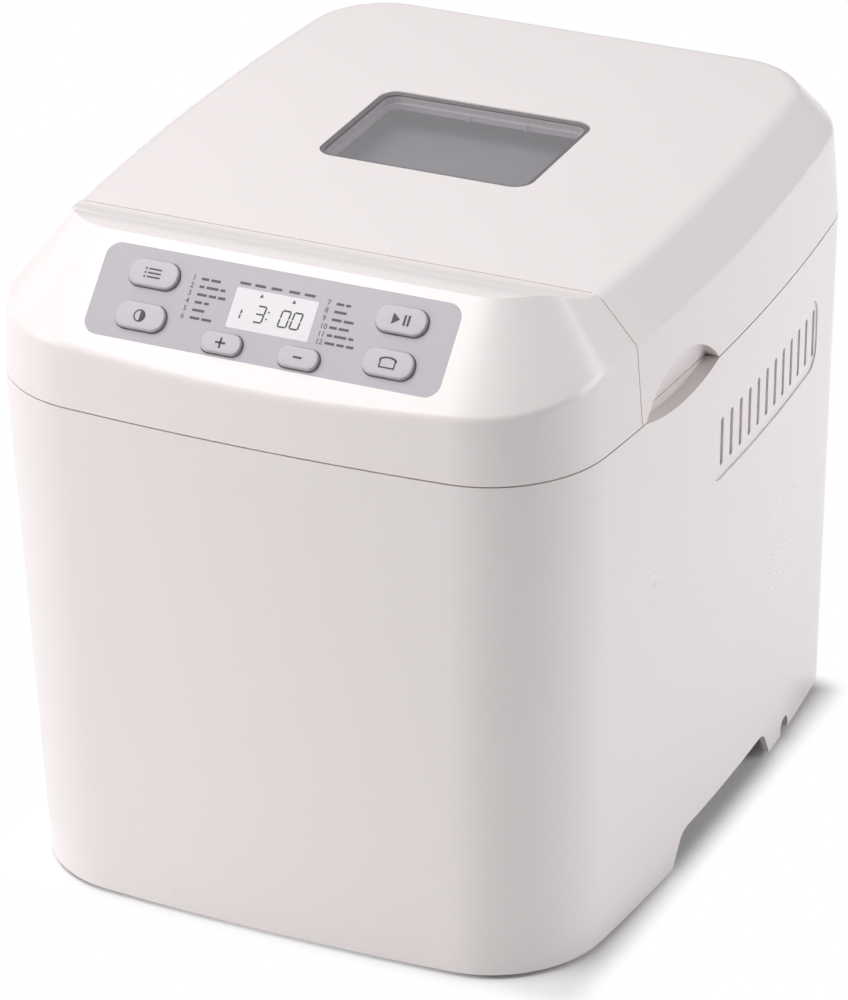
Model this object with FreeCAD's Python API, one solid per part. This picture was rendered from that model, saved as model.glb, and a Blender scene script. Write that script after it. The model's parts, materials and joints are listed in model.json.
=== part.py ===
import FreeCAD, Part
import math
import os

# A bread machine, in millimetres: +Z up, front towards -Y, origin under the middle of the feet.

V = FreeCAD.Vector

# Body casing, in plan and in height
half_width = 130.0
front_reach = 156.2
rear_reach = 156.2
front_bow = 1110.0
side_bow = 1113.0
front_corner = 48.0
rear_corner = 43.0
wall = 2.5
casing_bottom = 2.0
seam_height = 214.6
seam_gap = 0.6
base_front_inset = 4.0
base_side_inset = 5.3
base_rear_inset = 4.3
part_gap = 0.3
touch = 0.1
screw_radius = 2.0
screw_head_radius = 3.6
screw_head_height = 2.2

# Upper unit: the skirt above the seam, the sloped band round it and the flat top
skirt_draft = 3.7
side_slope = 49.4
rear_slope = 49.0
panel_slope = 45.9
lid_tilt = 0.8
split_y = -82.0
split_gap = 0.5
band_side_height = 247.5
band_side_inset = 2.0
band_side_x = half_width - band_side_inset
band_rear_height = 250.0
slope_front_y = -147.2
slope_front_height = 245.2
band_corner = 46.0
band_corner_shrink = 0.8
plateau_height = 266.2
rim_rise = 8.8
rim_height = plateau_height + rim_rise
rim_rear_y = -114.5
crease_soft = 5.0
top_soft = 8.0
lip_depth = 6.0
lip_thickness = 1.8

# Finger grips in the side seams: a sloped scoop in the lid over an arched pocket in the casing
grip_y = -47.0
grip_half_length = 32.0
grip_depth = 6.5
pocket_drop = 4.4
scoop_rise = 15.6
grip_wall = 2.0

# Side vents and the shallow field round them
vent_count = 12
vent_first_y = -10.4
vent_pitch = 9.4
vent_width = 2.8
vent_corner = 1.2
vent_bottom = 165.4
vent_top = 186.0
field_front_y = -20.0
field_rear_y = 98.5
field_bottom = 160.2
field_top = 191.5
field_corner = 9.0
field_depth = 0.6

# Cut-outs in the lower side edges
arch_front_y = -47.0
arch_rear_y = 56.0
arch_height = 15.3
arch_corner = 9.0
notch_y = 73.5
notch_half = 4.5
notch_height = 4.3

# Base plate, feet and corner bosses
plate_bottom = 17.0
plate_thickness = 2.5
foot_side_inset = 38.0
foot_end_inset = 40.2
foot_x = half_width - foot_side_inset
foot_front_y = foot_end_inset - front_reach
foot_rear_y = rear_reach - foot_end_inset
foot_radius = 10.0
foot_height = 4.0
foot_stud_radius = 6.5
foot_recess = 2.0
boss_radius = 6.0
boss_height = 20.0
boss_front_side_inset = 28.0
boss_front_inset = 27.7
boss_rear_side_inset = 25.0
boss_rear_inset = 25.2
boss_front_x = half_width - boss_front_side_inset
boss_front_y = boss_front_inset - front_reach
boss_rear_x = half_width - boss_rear_side_inset
boss_rear_y = rear_reach - boss_rear_inset

# Chassis plate on its legs
chassis_bottom = 42.0
chassis_thickness = 2.0
chassis_side_inset = 28.0
chassis_front_inset = 16.2
chassis_rear_inset = 34.2
chassis_half_x = half_width - chassis_side_inset
chassis_front_y = chassis_front_inset - front_reach
chassis_rear_y = rear_reach - chassis_rear_inset
chassis_corner = 16.0
leg_radius = 5.0
leg_side_inset = 12.0
leg_x = chassis_half_x - leg_side_inset
leg_front_y = -72.0
leg_rear_inset = 14.0
leg_rear_y = chassis_rear_y - leg_rear_inset

# Drive line
drive_y = 30.0
shaft_radius = 4.0
shaft_bottom = 23.0
running_clearance = 0.05
pulley_bottom = 26.0
pulley_height = 10.0
large_pulley_radius = 45.0
small_pulley_radius = 9.0
pulley_flange = 1.6
pulley_rim = 4.0
pulley_web = 3.0
hub_radius = 11.0
belt_clearance = 0.3
belt_thickness = 1.8
belt_side_clearance = 0.5
housing_radius = 13.0
housing_flange_radius = 26.0
housing_flange_height = 4.0
housing_bottom = 38.5
bush_radius = 7.0
bush_length = 7.0
coupling_radius = 10.0
coupling_hub_height = 6.0
coupling_lug_height = 6.0
coupling_lug_half_angle = 25.0
coupling_gap = 1.0
lug_bore_margin = 1.0

# Motor
motor_y = -104.0
motor_radius = 34.0
motor_height = 62.0
motor_cap_height = 9.0
motor_cap_radius = 22.0
motor_shaft_radius = 3.0
bracket_half = 42.0
bracket_thickness = 4.0
bracket_corner = 8.0
motor_screw_offset = 33.0
fan_radius = 27.0
fan_height = 8.0
fan_blades = 9
fan_blade_thickness = 1.6
fan_gap = 3.0
capacitor_radius = 12.0
capacitor_length = 46.0
capacitor_side_inset = 24.0
capacitor_x = capacitor_side_inset - chassis_half_x

# Baking chamber
chamber_half_x = 98.0
chamber_half_y = 90.0
chamber_corner = 26.0
chamber_wall = 1.2
chamber_floor = 62.0
chamber_top = 205.0
spacer_radius = 6.0
spacer_x = 72.0
spacer_y = 64.0
collar_thickness = 2.5
collar_rear_inset = 9.8
collar_front_inset = 2.0
collar_rear_y = rear_reach - collar_rear_inset
collar_front_y = split_y + collar_front_inset
element_half_x = 88.0
element_half_y = 80.0
element_corner = 24.0
element_bend = 9.0
element_radius = 3.5
element_height = 74.0
element_terminal_x = 22.0
element_end_reach = 12.0
terminal_radius = 7.0
terminal_length = 7.0
clip_width = 8.0
clip_height = 14.0
sensor_x = 44.0
sensor_height = 118.0
sensor_radius = 3.0
sensor_length = 22.0
sensor_nut_radius = 6.5
sensor_nut_length = 5.0
fuse_x = -44.0
fuse_height = 112.0
fuse_radius = 4.0
fuse_length = 24.0

# Bread pan, its seat and what turns in it
pan_half_x = 75.0
pan_half_y = 65.0
pan_corner = 20.0
pan_wall = 1.2
pan_floor = 85.0
pan_top = 208.0
pan_rim_width = 3.0
pan_rim_height = 2.4
seat_radius = 37.0
seat_bore = 31.0
seat_height = 13.0
seat_ledge = 2.5
foot_ring_radius = 30.0
foot_ring_bore = 25.0
twist_lug_reach = 3.4
twist_lug_height = 4.0
twist_lug_half_angle = 4.0
twist_angle = 10.0
twist_spare_angle = 1.5
pan_bush_radius = 9.0
pan_bush_height = 5.0
pan_shaft_top = 112.0
paddle_hub_radius = 9.0
paddle_hub_height = 20.0
paddle_reach = 46.0
paddle_blade_height = 24.0
paddle_thickness = 4.0
paddle_gap = 1.0
pivot_height = 201.0
pivot_radius = 3.0
pivot_head_radius = 6.5
pivot_head_thickness = 1.6
bail_radius = 1.8
bail_reach = 40.0
bail_corner = 16.0
bail_eye_radius = 5.0
bail_rest_angle = 20.0
bail_side_gap = 1.0
bail_eye_width = 4.6

# Lid: hinge, liner, seal and window
hinge_inset = 3.3
hinge_y = rear_reach - hinge_inset
hinge_height = 219.0
hinge_x = 72.0
ear_width = 12.0
ear_radius = 3.1
ear_stem_depth = 6.0
ear_stem_bottom = 182.0
ear_gap = 0.5
knuckle_width = 7.0
knuckle_radius = 3.0
pin_radius = 1.5
lid_edge_relief = 2.6
liner_side_inset = 18.0
liner_front_inset = 7.0
liner_rear_inset = 17.2
liner_half_x = half_width - liner_side_inset
liner_front_y = split_y + liner_front_inset
liner_rear_y = rear_reach - liner_rear_inset
liner_corner = 24.0
liner_thickness = 1.5
liner_lift = 1.6
dish_side_inset = 11.0
dish_foot_half_x = liner_half_x - dish_side_inset
dish_foot_half_y = 92.0
dish_draw = 8.0
dish_top_half_x = dish_foot_half_x - dish_draw
dish_top_half_y = dish_foot_half_y - dish_draw
dish_corner = 24.0
dish_top_inset = 13.2
dish_top = plateau_height - dish_top_inset
lid_boss_radius = 4.0
lid_boss_side_inset = 5.5
lid_boss_front_inset = 13.0
lid_boss_rear_inset = 15.0
lid_boss_x = liner_half_x - lid_boss_side_inset
lid_boss_front_y = liner_front_y + lid_boss_front_inset
lid_boss_rear_y = liner_rear_y - lid_boss_rear_inset
seal_width = 4.0
seal_clearance = 0.6
window_half_x = 46.0
window_half_y = 33.4
window_corner = 8.0
window_center_y = 25.0
gasket_width = 2.2
gasket_depth = 6.0
gasket_sink = 0.5
pane_thickness = 3.0
pane_sink = 1.0
inner_pane_margin = 6.0

# Control panel, in its own plane: across, up the slope and out of it
panel_center_y = -134.2
panel_half_x = 73.9
panel_half_v = 18.6
panel_corner = 6.0
panel_depth = 1.0
button_clearance = 0.3
button_travel = 1.2
button_proud = 1.7
button_flange = 1.2
button_flange_thickness = 1.2
pill_x = 51.5
pill_upper_v = 8.3
pill_lower_v = -8.8
pill_half_x = 10.5
pill_half_v = 5.4
step_x = 16.0
step_v = -13.2
step_half_x = 8.5
step_half_v = 4.2
display_v = 1.7
display_half_x = 17.0
display_half_v = 8.0
display_corner = 0.7
lens_thickness = 1.4
module_frame = 2.0
board_depth = 13.0
board_thickness = 1.6
board_half_x = 66.0
board_half_v = 17.0
post_radius = 3.0
post_x = 33.0
post_v = 13.0
switch_half = 3.0
switch_gap = 0.1

# Power board, ribbon and cord gland
power_side_inset = 36.0
power_x = half_width - power_side_inset
power_front_y = -136.0
power_rear_y = -76.0
power_height = 86.0
transformer_size = (26.0, 34.0, 30.0)
relay_size = (16.0, 20.0, 15.0)
terminal_block_size = (10.0, 30.0, 9.0)
component_spacing = 6.0
ribbon_thickness = 0.8
ribbon_width = 14.0
ribbon_x = 60.0
ribbon_y = -124.0
gland_x = -60.0
gland_height = 40.0
gland_radius = 8.0
gland_body_radius = 5.5
gland_bore = 3.6
gland_proud = 2.0
gland_inside = 5.0

# Heights that follow from the sizes above
plate_top = plate_bottom + plate_thickness
chassis_top = chassis_bottom + chassis_thickness
chamber_floor_top = chamber_floor + chamber_wall
skirt_bottom = seam_height + seam_gap
shaft_top = chamber_floor_top + coupling_gap + coupling_hub_height
lug_top = shaft_top + coupling_lug_height
upper_hub_bottom = lug_top + coupling_gap
upper_hub_top = upper_hub_bottom + coupling_hub_height
motor_bottom = chassis_top + bracket_thickness
motor_top = motor_bottom + motor_height
collar_top = chamber_top + collar_thickness
liner_bottom = skirt_bottom + liner_lift
panel_rise = math.tan(math.radians(panel_slope))
panel_center_height = slope_front_height + (panel_center_y - slope_front_y) * panel_rise


def block(x0, x1, y0, y1, z0, z1):
    return Part.makeBox(x1 - x0, y1 - y0, z1 - z0, V(x0, y0, z0))


def post(x, y, z0, z1, radius):
    return Part.makeCylinder(radius, z1 - z0, V(x, y, z0))


def ring(x, y, z0, z1, radius, bore):
    return post(x, y, z0, z1, radius).cut(post(x, y, z0, z1, bore))


def bar_x(x0, x1, y, z, radius):
    return Part.makeCylinder(radius, x1 - x0, V(x0, y, z), V(1, 0, 0))


def bar_y(x, y0, y1, z, radius):
    return Part.makeCylinder(radius, y1 - y0, V(x, y0, z), V(0, 1, 0))


def merge(shapes):
    return shapes[0].multiFuse(shapes[1:]).removeSplitter()


def both_sides(shape):
    return [shape, shape.mirror(V(0, 0, 0), V(1, 0, 0))]


def rounded_wire(half_x, half_y, corner, x, y, z):
    right, left = x + half_x, x - half_x
    back, front = y + half_y, y - half_y
    cut = corner * (1 - math.sqrt(0.5))
    corners = [
        (V(right - corner, front, z), V(right - cut, front + cut, z), V(right, front + corner, z)),
        (V(right, back - corner, z), V(right - cut, back - cut, z), V(right - corner, back, z)),
        (V(left + corner, back, z), V(left + cut, back - cut, z), V(left, back - corner, z)),
        (V(left, front + corner, z), V(left + cut, front + cut, z), V(left + corner, front, z)),
    ]
    edges = []
    for index, (start, middle, end) in enumerate(corners):
        edges.append(Part.Arc(start, middle, end).toShape())
        edges.append(Part.LineSegment(end, corners[(index + 1) % 4][0]).toShape())
    return Part.Wire(edges)


def rounded_prism(half_x, half_y, corner, x, y, z0, z1):
    face = Part.Face(rounded_wire(half_x, half_y, corner, x, y, z0))
    return face.extrude(V(0, 0, z1 - z0))


def side_profile(points, half_x):
    face = Part.Face(Part.makePolygon([V(-half_x, y, z) for y, z in points + points[:1]]))
    return face.extrude(V(2 * half_x, 0, 0))


def toward(start, end, length):
    step = V(end).sub(start)
    step.normalize()
    return V(start).add(step.multiply(length))


def corner_points(center, radius, first, second):
    start = toward(center, first, radius)
    end = toward(center, second, radius)
    middle = toward(center, start.add(end).multiply(0.5), radius)
    return start, middle, end


# Plan outline with bowed sides, a bowed or straight front, a straight rear and tangent corner arcs
def bowed_outline(half_x, front_y, rear_y, bow, corners, z):
    front_radius, rear_radius = corners
    side_center = V(half_x - side_bow, 0, z)
    rear_y_center = rear_y - rear_radius
    rear_x = side_center.x + math.sqrt((side_bow - rear_radius) ** 2 - rear_y_center ** 2)
    rear_center = V(rear_x, rear_y_center, z)
    if bow:
        front_center = V(0, front_y + bow, z)
        reach = bow - front_radius
        span = side_center.sub(front_center)
        along = (reach ** 2 - (side_bow - front_radius) ** 2 + span.Length ** 2) / (2 * span.Length)
        off = math.sqrt(reach ** 2 - along ** 2)
        unit = V(span).normalize()
        corner_center = front_center + unit * along + V(-unit.y, unit.x, 0) * off
        front_touch = corner_center + (corner_center - front_center)
    else:
        front_y_center = front_y + front_radius
        front_x = side_center.x + math.sqrt((side_bow - front_radius) ** 2 - front_y_center ** 2)
        corner_center = V(front_x, front_y_center, z)
        front_touch = corner_center + V(0, -1, 0)
    side_touch = corner_center + (corner_center - side_center)
    front_arc = corner_points(corner_center, front_radius, front_touch, side_touch)
    rear_side_touch = rear_center + (rear_center - side_center)
    rear_arc = corner_points(rear_center, rear_radius, rear_side_touch, rear_center + V(0, 1, 0))
    side_arc = (front_arc[2], V(half_x, 0, z), rear_arc[0])
    right = [front_arc, side_arc, rear_arc]
    left = [tuple(V(-p.x, p.y, p.z) for p in reversed(arc)) for arc in reversed(right)]
    edges = [Part.Arc(*arc).toShape() for arc in right]
    edges.append(Part.LineSegment(right[-1][2], left[0][0]).toShape())
    edges += [Part.Arc(*arc).toShape() for arc in left]
    if bow:
        edges.append(Part.Arc(left[-1][2], V(0, front_y, z), right[0][0]).toShape())
    else:
        edges.append(Part.LineSegment(left[-1][2], right[0][0]).toShape())
    return Part.Wire(edges)


def casing_outline(z, inset):
    share = (seam_height - z) / (seam_height - casing_bottom)
    half_x = half_width - base_side_inset * share - inset
    front_y = -front_reach + base_front_inset * share + inset
    rear_y = rear_reach - base_rear_inset * share - inset
    corners = (front_corner - inset, rear_corner - inset)
    return bowed_outline(half_x, front_y, rear_y, front_bow - inset, corners, z)


def casing_form(z0, z1, inset):
    return Part.makeLoft([casing_outline(z0, inset), casing_outline(z1, inset)], True, True)


def skirt_outline(z, inset):
    drawn_in = inset + (z - seam_height) * math.tan(math.radians(skirt_draft))
    corners = (front_corner - drawn_in, rear_corner - drawn_in)
    reach = (-front_reach + drawn_in, rear_reach - drawn_in)
    return bowed_outline(half_width - drawn_in, reach[0], reach[1], front_bow - drawn_in, corners, z)


def skirt_form(z0, z1, inset):
    return Part.makeLoft([skirt_outline(z0, inset), skirt_outline(z1, inset)], True, True)


# Sloped sides of the upper unit, narrowing towards the top, with round corners
def hip_outline(z, inset, front_angle, rear_angle):
    def run(angle, start):
        return (z - start) / math.tan(math.radians(angle)) + inset / math.sin(math.radians(angle))

    half_x = band_side_x - run(side_slope, band_side_height)
    front_y = slope_front_y + run(front_angle, slope_front_height)
    rear_y = rear_reach - run(rear_angle, band_rear_height)
    corner = band_corner - (z - band_side_height) * band_corner_shrink - inset
    return bowed_outline(half_x, front_y, rear_y, None, (corner, corner), z)


def hip_form(z0, z1, inset, tilt):
    front_angle = panel_slope - tilt
    rear_angle = rear_slope + tilt
    sections = [hip_outline(z, inset, front_angle, rear_angle) for z in (z0 - wall * 4, z1)]
    form = Part.makeLoft(sections, True, True)
    form.rotate(V(0, split_y, plateau_height), V(1, 0, 0), tilt)
    return form


# Rounds the edges that lie between two heights, apart from those of the split face
def soften(shape, radius, low, high):
    def is_soft(edge):
        box = edge.BoundBox
        on_split = abs(box.YMin - split_y) < 2 * split_gap and box.YLength < touch
        return box.ZMin > low and box.ZMax < high and not on_split

    return shape.makeFillet(radius, [edge for edge in shape.Edges if is_soft(edge)])


def is_level(edge, z):
    return abs(edge.BoundBox.ZMin - z) < touch and edge.BoundBox.ZLength < touch


# Prism across the side wall, an arch on the seam that rises or falls by some height
def grip_arch(rise, margin):
    half_length = grip_half_length + margin
    start = V(0, -half_length, seam_height)
    end = V(0, half_length, seam_height)
    arc = Part.Arc(start, V(0, 0, seam_height + rise + math.copysign(margin, rise)), end).toShape()
    face = Part.Face(Part.Wire([arc, Part.LineSegment(end, start).toShape()]))
    return face.extrude(V(half_width + wall, 0, 0))


# Slides a shape round the bowed side from its middle to the place of the grip
def at_grip(shape):
    shape.rotate(V(half_width - side_bow, 0, 0), V(0, 0, 1), math.degrees(grip_y / side_bow))
    return shape


def casing_grip(margin):
    reach = grip_half_length + margin
    inner = half_width - grip_depth - margin
    room = block(inner, half_width + wall, -reach, reach, casing_bottom, seam_height)
    return at_grip(room.common(grip_arch(-pocket_drop, margin)))


def lid_grip(margin):
    reach = grip_half_length + margin
    top = seam_height + scoop_rise
    outside = half_width + wall
    foot = half_width - grip_depth - margin
    head = half_width - scoop_rise * math.tan(math.radians(skirt_draft)) - margin
    points = [(foot, seam_height), (outside, seam_height), (outside, top), (head, top), (foot, seam_height)]
    face = Part.Face(Part.makePolygon([V(x, -reach, z) for x, z in points]))
    return at_grip(face.extrude(V(0, 2 * reach, 0)).common(grip_arch(scoop_rise, margin)))


def boss_places():
    rear = [(x, boss_rear_y) for x in (-boss_rear_x, boss_rear_x)]
    return [(x, boss_front_y) for x in (-boss_front_x, boss_front_x)] + rear


# Block across the right side wall with its four corners rounded
def side_slot(y0, y1, z0, z1, corner):
    slot = block(half_width / 2, half_width, y0, y1, z0, z1)
    return slot.makeFillet(corner, [edge for edge in slot.Edges if edge.BoundBox.XLength > touch])


def body_casing():
    outer = casing_form(casing_bottom, seam_height, 0)
    shell = outer.cut(casing_form(casing_bottom, seam_height, wall))
    bosses = []
    core = casing_form(casing_bottom, seam_height, wall / 2)
    for x, y in boss_places():
        boss = post(x, y, plate_top, plate_top + boss_height, boss_radius)
        pilot = post(x, y, plate_top, plate_top + boss_height, screw_radius)
        bosses.append(boss.cut(pilot).common(core))
    pockets = [pocket.common(outer) for pocket in both_sides(casing_grip(grip_wall))]
    shell = shell.multiFuse(bosses + pockets)
    for scoop in both_sides(casing_grip(0)):
        shell = shell.cut(scoop)
    skin = outer.cut(casing_form(casing_bottom, seam_height, field_depth))
    field = skin.common(side_slot(field_front_y, field_rear_y, field_bottom, field_top, field_corner))
    fronts = [vent_first_y + index * vent_pitch for index in range(vent_count)]
    slots = [side_slot(y, y + vent_width, vent_bottom, vent_top, vent_corner) for y in fronts]
    for cutter in [field] + slots:
        for side in both_sides(cutter):
            shell = shell.cut(side)
    arch_points = [(arch_front_y, 0), (arch_front_y + arch_corner, arch_height),
                   (arch_rear_y - arch_corner, arch_height), (arch_rear_y, 0)]
    arch = side_profile(arch_points, half_width)
    arch_ends = [edge for edge in arch.Edges if is_level(edge, arch_height) and edge.BoundBox.YLength < touch]
    shell = shell.cut(arch.makeFillet(arch_corner, arch_ends))
    notch = block(-half_width, half_width, notch_y - notch_half, notch_y + notch_half, 0, notch_height)
    shell = shell.cut(merge([notch, bar_x(-half_width, half_width, notch_y, notch_height, notch_half)]))
    shell = shell.cut(bar_y(gland_x, 0, rear_reach, gland_height, gland_body_radius))
    return shell.removeSplitter()


def base_plate():
    plate = Part.Face(casing_outline(plate_bottom, wall + 2 * part_gap)).extrude(V(0, 0, plate_thickness))
    solids = [plate]
    for x in (-foot_x, foot_x):
        for y in (foot_front_y, foot_rear_y):
            solids.append(post(x, y, foot_height, plate_bottom, foot_radius))
    plate = merge(solids)
    for x, y in boss_places():
        plate = plate.cut(post(x, y, plate_bottom, plate_top, screw_radius))
    for x in (-foot_x, foot_x):
        for y in (foot_front_y, foot_rear_y):
            plate = plate.cut(post(x, y, foot_height, foot_height + foot_recess, foot_stud_radius))
    return plate


def rubber_feet():
    feet = []
    for x in (-foot_x, foot_x):
        for y in (foot_front_y, foot_rear_y):
            pad = post(x, y, 0, foot_height, foot_radius)
            feet.append(merge([pad, post(x, y, foot_height, foot_height + foot_recess, foot_stud_radius)]))
    return Part.makeCompound(feet)


def screw_up(x, y, head_top, length):
    head = post(x, y, head_top - screw_head_height, head_top, screw_head_radius)
    return merge([head, post(x, y, head_top, head_top + length, screw_radius)])


def screw_down(x, y, seat, length):
    head = post(x, y, seat, seat + screw_head_height, screw_head_radius)
    return merge([head, post(x, y, seat - length, seat, screw_radius)])


def base_screws():
    return Part.makeCompound([screw_up(x, y, plate_bottom, plate_thickness + boss_height / 2)
                              for x, y in boss_places()])


def chassis_frame():
    middle = (chassis_front_y + chassis_rear_y) / 2
    half_y = (chassis_rear_y - chassis_front_y) / 2
    plate = rounded_prism(chassis_half_x, half_y, chassis_corner, 0, middle, chassis_bottom, chassis_top)
    legs = [post(x, y, plate_top, chassis_bottom, leg_radius)
            for x in (-leg_x, leg_x) for y in (leg_front_y, leg_rear_y)]
    frame = merge([plate] + legs)
    frame = frame.cut(post(0, drive_y, chassis_bottom, chassis_top, housing_radius))
    for x, y in motor_screw_places():
        frame = frame.cut(post(x, y, chassis_bottom, chassis_top, screw_radius))
    return frame.cut(post(0, motor_y, chassis_bottom, chassis_top, small_pulley_radius))


def bush_bottoms():
    return (housing_bottom, chamber_floor - bush_length)


def bearing_housing():
    body = post(0, drive_y, housing_bottom, chamber_floor, housing_radius)
    flange = post(0, drive_y, chassis_top, chassis_top + housing_flange_height, housing_flange_radius)
    housing = merge([body, flange])
    bore = post(0, drive_y, housing_bottom, chamber_floor, shaft_radius + lug_bore_margin)
    housing = housing.cut(bore)
    for z0 in bush_bottoms():
        housing = housing.cut(post(0, drive_y, z0, z0 + bush_length, bush_radius))
    return housing


def shaft_bushes():
    bore = shaft_radius + running_clearance
    bushes = [ring(0, drive_y, z0, z0 + bush_length, bush_radius, bore) for z0 in bush_bottoms()]
    return Part.makeCompound(bushes)


def drive_shaft():
    return post(0, drive_y, shaft_bottom, shaft_top, shaft_radius)


def pulley(y, radius, bore):
    top = pulley_bottom + pulley_height
    body = post(0, y, pulley_bottom, top, radius)
    for z0 in (pulley_bottom - pulley_flange, top):
        body = body.fuse(post(0, y, z0, z0 + pulley_flange, radius + pulley_flange))
    return body.cut(post(0, y, pulley_bottom - pulley_flange, top + pulley_flange, bore)).removeSplitter()


def large_pulley():
    wheel = pulley(drive_y, large_pulley_radius, shaft_radius)
    web_bottom = pulley_bottom + (pulley_height - pulley_web) / 2
    top = pulley_bottom + pulley_height + pulley_flange
    inner = large_pulley_radius - pulley_rim
    wheel = wheel.cut(ring(0, drive_y, web_bottom + pulley_web, top, inner, hub_radius))
    return wheel.cut(ring(0, drive_y, pulley_bottom - pulley_flange, web_bottom, inner, hub_radius))


def small_pulley():
    return pulley(motor_y, small_pulley_radius, motor_shaft_radius)


# Flat loop round both pulleys, at a set distance from their faces
def belt_loop(distance, z0, z1):
    large = large_pulley_radius + distance
    small = small_pulley_radius + distance
    lean = math.asin((large - small) / (drive_y - motor_y))
    across, along = math.cos(lean), math.sin(lean)
    a = V(large * across, drive_y - large * along, z0)
    b = V(small * across, motor_y - small * along, z0)
    edges = [
        Part.LineSegment(b, a).toShape(),
        Part.Arc(a, V(0, drive_y + large, z0), V(-a.x, a.y, z0)).toShape(),
        Part.LineSegment(V(-a.x, a.y, z0), V(-b.x, b.y, z0)).toShape(),
        Part.Arc(V(-b.x, b.y, z0), V(0, motor_y - small, z0), b).toShape(),
    ]
    return Part.Face(Part.Wire(edges)).extrude(V(0, 0, z1 - z0))


def drive_belt():
    z0 = pulley_bottom + belt_side_clearance
    z1 = pulley_bottom + pulley_height - belt_side_clearance
    return belt_loop(belt_clearance + belt_thickness, z0, z1).cut(belt_loop(belt_clearance, z0, z1))


# Slice of a cylinder round the drive axis, from a start angle
def drive_sector(radius, z0, z1, start, sweep):
    sector = Part.makeCylinder(radius, z1 - z0, V(0, 0, z0), V(0, 0, 1), sweep)
    sector.rotate(V(0, 0, 0), V(0, 0, 1), start)
    sector.translate(V(0, drive_y, 0))
    return sector


# Two opposite sector lugs that push against the lugs of the other half
def coupling_lugs(z0, z1, first_angle):
    half = coupling_lug_half_angle
    bore = post(0, drive_y, z0, z1, shaft_radius + lug_bore_margin)
    return [drive_sector(coupling_radius, z0, z1, angle - half, 2 * half).cut(bore)
            for angle in (first_angle, first_angle + 180)]


def lower_coupling():
    hub = ring(0, drive_y, shaft_top - coupling_hub_height, shaft_top, coupling_radius, shaft_radius)
    return merge([hub] + coupling_lugs(shaft_top, lug_top, 0))


def upper_coupling():
    hub = ring(0, drive_y, upper_hub_bottom, upper_hub_top, coupling_radius, shaft_radius)
    return merge([hub] + coupling_lugs(upper_hub_bottom - coupling_lug_height, upper_hub_bottom, 90))


def motor_screw_places():
    return [(x, motor_y + y) for x in (-motor_screw_offset, motor_screw_offset)
            for y in (-motor_screw_offset, motor_screw_offset)]


def motor_bracket():
    plate = rounded_prism(bracket_half, bracket_half, bracket_corner, 0, motor_y, chassis_top, motor_bottom)
    plate = plate.cut(post(0, motor_y, chassis_top, motor_bottom, small_pulley_radius))
    for x, y in motor_screw_places():
        plate = plate.cut(post(x, y, chassis_top, motor_bottom, screw_radius))
    return plate


def motor_screws():
    return Part.makeCompound([screw_down(x, y, motor_bottom, bracket_thickness + chassis_thickness)
                              for x, y in motor_screw_places()])


def motor_housing():
    can = post(0, motor_y, motor_bottom, motor_top - motor_cap_height, motor_radius)
    cap = post(0, motor_y, motor_top - motor_cap_height, motor_top, motor_cap_radius)
    housing = merge([can, cap])
    return housing.cut(post(0, motor_y, motor_bottom, motor_top, motor_shaft_radius + running_clearance))


def motor_shaft():
    top = motor_top + fan_gap + fan_height
    return post(0, motor_y, pulley_bottom - pulley_flange, top, motor_shaft_radius)


def motor_fan():
    z0 = motor_top + fan_gap
    disc = post(0, motor_y, z0, z0 + fan_blade_thickness, fan_radius)
    hub = post(0, motor_y, z0, z0 + fan_height, 2 * motor_shaft_radius)
    blades = []
    for index in range(fan_blades):
        blade = block(motor_shaft_radius, fan_radius, 0, fan_blade_thickness, z0, z0 + fan_height)
        blade.rotate(V(0, 0, 0), V(0, 0, 1), index * 360 / fan_blades)
        blade.translate(V(0, motor_y, 0))
        blades.append(blade)
    fan = merge([disc, hub] + blades)
    return fan.cut(post(0, motor_y, z0, z0 + fan_height, motor_shaft_radius))


def motor_capacitor():
    z = chassis_top + capacitor_radius
    front = motor_y - capacitor_length / 2
    return bar_y(capacitor_x, front, front + capacitor_length, z, capacitor_radius)


def chamber_prism(inset, z0, z1):
    return rounded_prism(chamber_half_x - inset, chamber_half_y - inset, chamber_corner - inset,
                         0, drive_y, z0, z1)


def chamber_front():
    return drive_y - chamber_half_y


def element_ends():
    return (-element_terminal_x, element_terminal_x)


def chamber_liner():
    tub = chamber_prism(0, chamber_floor, chamber_top)
    tub = tub.cut(chamber_prism(chamber_wall, chamber_floor_top, chamber_top))
    tub = tub.cut(post(0, drive_y, chamber_floor, chamber_floor_top, housing_radius))
    front = chamber_front()
    holes = [(x, element_height, element_radius) for x in element_ends()]
    holes.append((sensor_x, sensor_height, sensor_radius))
    for x, z, radius in holes:
        tub = tub.cut(bar_y(x, front, front + chamber_wall, z, radius))
    return tub


def chamber_spacers():
    return Part.makeCompound([post(x, drive_y + y, chassis_top, chamber_floor, spacer_radius)
                              for x in (-spacer_x, spacer_x) for y in (-spacer_y, spacer_y)])


def chamber_collar():
    outer = casing_form(chamber_top, collar_top, wall + part_gap)
    kept = block(-half_width, half_width, collar_front_y, collar_rear_y, chamber_top, collar_top)
    collar = outer.common(kept).cut(chamber_prism(chamber_wall, chamber_top, collar_top))
    for pocket in both_sides(casing_grip(grip_wall + part_gap)):
        collar = collar.cut(pocket)
    return collar


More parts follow.
